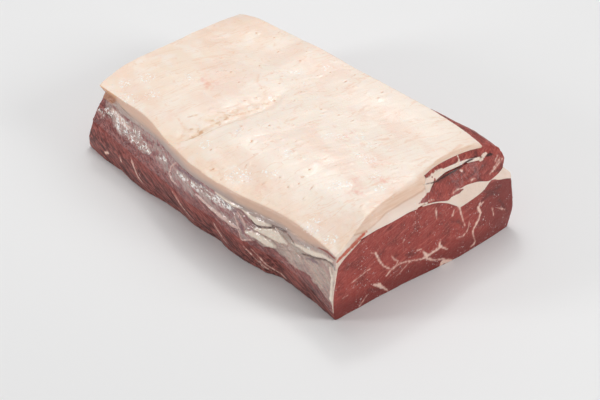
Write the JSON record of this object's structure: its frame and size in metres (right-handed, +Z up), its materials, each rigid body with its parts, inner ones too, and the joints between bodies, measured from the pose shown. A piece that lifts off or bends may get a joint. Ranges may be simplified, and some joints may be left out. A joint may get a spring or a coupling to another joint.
{
  "type": "beef striploin",
  "caption": "Boneless raw beef striploin: a long slab of lean loin under a pale fat cap, cut square at both ends, with the eye muscle, a fat seam and a folded flap muscle showing.",
  "frame": {"origin": "on the underside, below the middle of the bounding box", "axes": "+X along the length towards the shown cut end, +Y towards the flank side, +Z up through the fat cap"},
  "size_m": [0.3512, 0.216, 0.0852],
  "materials": {
    "lean": "moist raw lean meat with pale marbling",
    "silverskin": "glossy grey-white skin over red meat",
    "seam_fat": "smooth cream fat",
    "flap_lean": "moist dark red meat",
    "cap_fat": "wrinkled cream to pale pink fat, slightly wet"
  },
  "bodies": {
    "root": {"eye_muscle": "lean", "silverskin": "silverskin", "seam_fat": "seam_fat", "flap_muscle": "flap_lean", "fold_fat": "seam_fat", "fat_cap": "cap_fat"}
  },
  "joints": []
}
